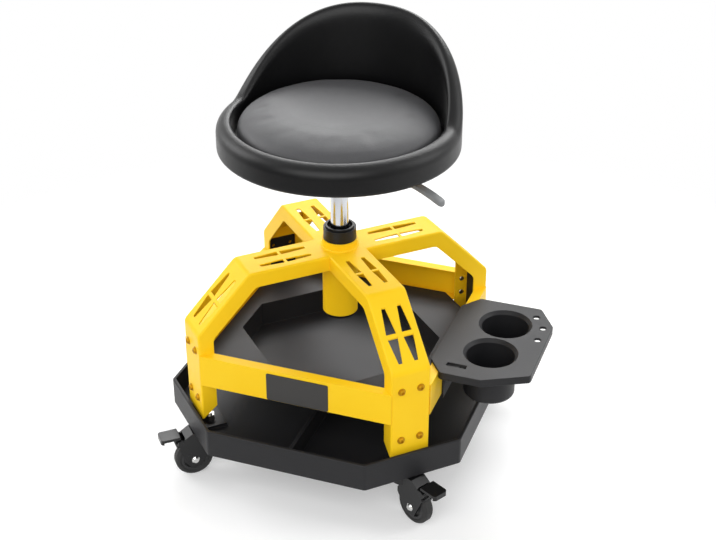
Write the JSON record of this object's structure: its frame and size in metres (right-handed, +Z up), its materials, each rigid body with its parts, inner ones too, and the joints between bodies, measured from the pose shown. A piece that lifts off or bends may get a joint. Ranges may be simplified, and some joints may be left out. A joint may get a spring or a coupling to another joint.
{
  "type": "creeper seat",
  "caption": "Rolling workshop seat with a padded, low-backed top on a gas column, carried by bent arms over stacked octagonal trays, with a hooked cup tray and braked swivel casters.",
  "frame": {"origin": "on the floor, under the middle of the outline seen from above (44.5 mm to the right of the column's axis, because the side tray hangs to the right)", "axes": "+X to the right along the front rail, +Y from the front rail to the back, +Z up; the seat faces -Y"},
  "size_m": [0.561, 0.472, 0.676],
  "materials": {
    "yellow_paint": "glossy powder coat",
    "black_paint": "satin powder coat",
    "tray_plastic": "fine-grained moulding",
    "label_film": "bare satin film",
    "zinc_steel": "zinc plated",
    "polished_steel": "ground and polished",
    "chrome": "polished",
    "bush_plastic": "satin",
    "board_wood": "raw plywood",
    "surround_vinyl": "satin vinyl over foam",
    "cushion_vinyl": "satin vinyl over foam",
    "lever_plastic": "satin",
    "caster_plastic": "semi-gloss",
    "core_plastic": "semi-gloss",
    "tyre_rubber": "satin"
  },
  "bodies": {
    "frame": {"arm_a": "yellow_paint", "arm_b": "yellow_paint", "arm_c": "yellow_paint", "arm_d": "yellow_paint", "base_tray": "tray_plastic", "caster_a_stem": "zinc_steel", "caster_b_stem": "zinc_steel", "caster_c_stem": "zinc_steel", "caster_d_stem": "zinc_steel", "caster_nuts": "zinc_steel", "column_tube": "black_paint", "foot_bolts": "zinc_steel", "foot_bracket_a": "black_paint", "foot_bracket_b": "black_paint", "foot_bracket_c": "black_paint", "foot_bracket_d": "black_paint", "guide_bush": "bush_plastic", "hub_plate": "yellow_paint", "hub_sleeve": "yellow_paint", "label_plate": "label_film", "rail_back": "yellow_paint", "rail_front": "yellow_paint", "rail_left": "yellow_paint", "rail_right": "yellow_paint", "rail_rivets": "zinc_steel", "side_tray": "tray_plastic", "thrust_bearing": "zinc_steel", "tool_tray": "tray_plastic"},
    "spindle": {"piston_rod": "polished_steel", "retaining_clip": "zinc_steel"},
    "seat": {"gas_cylinder": "chrome", "lever_housing": "black_paint", "seat_plate": "black_paint", "seat_bolts": "zinc_steel", "seat_board": "board_wood", "seat_surround": "surround_vinyl", "seat_cushion": "cushion_vinyl"},
    "lever": {"lever_rod": "black_paint", "lever_paddle": "lever_plastic"},
    "valve_pin": {"release_pin": "polished_steel"},
    "caster_a": {"caster_a_fork": "caster_plastic", "caster_a_axle": "polished_steel"},
    "wheel_a": {"caster_a_core": "core_plastic", "caster_a_tyre": "tyre_rubber"},
    "pedal_a": {"caster_a_pedal": "caster_plastic"},
    "caster_b": {"caster_b_fork": "caster_plastic", "caster_b_axle": "polished_steel"},
    "wheel_b": {"caster_b_core": "core_plastic", "caster_b_tyre": "tyre_rubber"},
    "pedal_b": {"caster_b_pedal": "caster_plastic"},
    "caster_c": {"caster_c_fork": "caster_plastic", "caster_c_axle": "polished_steel"},
    "wheel_c": {"caster_c_core": "core_plastic", "caster_c_tyre": "tyre_rubber"},
    "pedal_c": {"caster_c_pedal": "caster_plastic"},
    "caster_d": {"caster_d_fork": "caster_plastic", "caster_d_axle": "polished_steel"},
    "wheel_d": {"caster_d_core": "core_plastic", "caster_d_tyre": "tyre_rubber"},
    "pedal_d": {"caster_d_pedal": "caster_plastic"}
  },
  "joints": [
    {"name": "seat_swivel", "type": "hinge", "parent": "frame", "child": "spindle", "pos_m": [-0.0445, 0, 0.231], "axis": [0, 0, 1], "continuous": true},
    {"name": "seat_lift", "type": "slide", "parent": "spindle", "child": "seat", "axis": [0, 0, 1], "range_m": [-0.085, 0.02]},
    {"name": "lever_lift", "type": "hinge", "parent": "seat", "child": "lever", "pos_m": [-0.0241, -0.00824, 0.50297], "axis": [-0.3746, -0.9272, 0], "range_deg": [0, 5], "stiffness_Nm_per_rad": 0.6, "springref_deg": -17.19},
    {"name": "valve_press", "type": "slide", "parent": "seat", "child": "valve_pin", "axis": [0, 0, 1], "range_m": [-0.0025, 0]},
    {"name": "caster_a_swivel", "type": "hinge", "parent": "frame", "child": "caster_a", "pos_m": [-0.203, -0.15849, 0.085], "axis": [0, 0, 1], "continuous": true},
    {"name": "wheel_a_roll", "type": "hinge", "parent": "caster_a", "child": "wheel_a", "pos_m": [-0.22455, -0.1779, 0.03], "axis": [0.6691, -0.7431, 0], "continuous": true},
    {"name": "pedal_a_press", "type": "hinge", "parent": "caster_a", "child": "pedal_a", "pos_m": [-0.23904, -0.19095, 0.064], "axis": [0.6691, -0.7431, 0], "range_deg": [0, 14]},
    {"name": "caster_b_swivel", "type": "hinge", "parent": "frame", "child": "caster_b", "pos_m": [0.11399, -0.15849, 0.085], "axis": [0, 0, 1], "continuous": true},
    {"name": "wheel_b_roll", "type": "hinge", "parent": "caster_b", "child": "wheel_b", "pos_m": [0.13936, -0.17255, 0.03], "axis": [0.4848, 0.8746, 0], "continuous": true},
    {"name": "pedal_b_press", "type": "hinge", "parent": "caster_b", "child": "pedal_b", "pos_m": [0.15641, -0.18201, 0.064], "axis": [0.4848, 0.8746, 0], "range_deg": [0, 14]},
    {"name": "caster_c_swivel", "type": "hinge", "parent": "frame", "child": "caster_c", "pos_m": [-0.203, 0.15849, 0.085], "axis": [0, 0, 1], "continuous": true},
    {"name": "wheel_c_roll", "type": "hinge", "parent": "caster_c", "child": "wheel_c", "pos_m": [-0.2235, 0.179, 0.03], "axis": [-0.7071, -0.7071, 0], "continuous": true},
    {"name": "pedal_c_press", "type": "hinge", "parent": "caster_c", "child": "pedal_c", "pos_m": [-0.23729, 0.19279, 0.064], "axis": [-0.7071, -0.7071, 0], "range_deg": [0, 14]},
    {"name": "caster_d_swivel", "type": "hinge", "parent": "frame", "child": "caster_d", "pos_m": [0.11399, 0.15849, 0.085], "axis": [0, 0, 1], "continuous": true},
    {"name": "wheel_d_roll", "type": "hinge", "parent": "caster_d", "child": "wheel_d", "pos_m": [0.13621, 0.17714, 0.03], "axis": [-0.6428, 0.766, 0], "continuous": true},
    {"name": "pedal_d_press", "type": "hinge", "parent": "caster_d", "child": "pedal_d", "pos_m": [0.15115, 0.18967, 0.064], "axis": [-0.6428, 0.766, 0], "range_deg": [0, 14]}
  ],
  "couplings": [
    {"joint": "valve_press", "follows": "lever_lift", "m_per_rad": -0.022}
  ]
}
